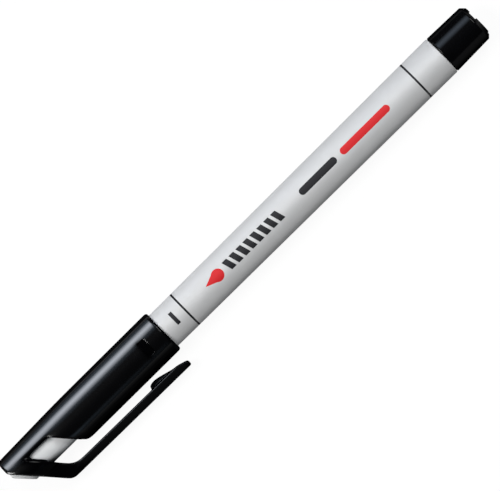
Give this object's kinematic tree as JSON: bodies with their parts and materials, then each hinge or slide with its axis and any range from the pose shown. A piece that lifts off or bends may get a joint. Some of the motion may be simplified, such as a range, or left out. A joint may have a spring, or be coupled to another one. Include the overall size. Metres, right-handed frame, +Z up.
{
  "type": "overhead projector marker",
  "caption": "Capped fine-tip marker with a pull-off black cap, a springy pocket clip over a slanted window, a grey sealing inner cap, a silver-grey barrel and a black end plug.",
  "frame": {"origin": "on the table under the middle of the marker's outline as it lies", "axes": "+X along the barrel from the cap to the end plug, +Z up from the table; the clip points to -Y and is rolled down until its edge touches the table"},
  "size_m": [0.141, 0.0148, 0.0108],
  "materials": {
    "cap_black": "semi-gloss moulded black",
    "inner_cap_grey": "satin light grey",
    "barrel_silver": "satin silver grey",
    "holder_grey": "satin grey",
    "nib_fibre": "ink-stained bonded fibre",
    "ink_fibre": "ink-soaked fibre rod",
    "wrap_film": "thin clear film",
    "plug_black": "satin moulded black"
  },
  "bodies": {
    "pen": {"barrel": "barrel_silver", "nib_holder": "holder_grey", "nib": "nib_fibre", "ink_reservoir": "ink_fibre", "reservoir_wrap": "wrap_film", "end_plug": "plug_black"},
    "cap": {"cap_shell": "cap_black", "inner_cap": "inner_cap_grey"},
    "clip": {"pocket_clip": "cap_black"}
  },
  "joints": [
    {"name": "cap_pull", "type": "slide", "parent": "pen", "child": "cap", "axis": [-1, 0, 0], "range_m": [0, 0.045]},
    {"name": "clip_flex", "type": "hinge", "parent": "cap", "child": "clip", "pos_m": [-0.06244, -0.00494, 0.00258], "axis": [0, 0.3795, -0.9252], "range_deg": [-1.2, 6], "stiffness_Nm_per_rad": 0.3}
  ]
}
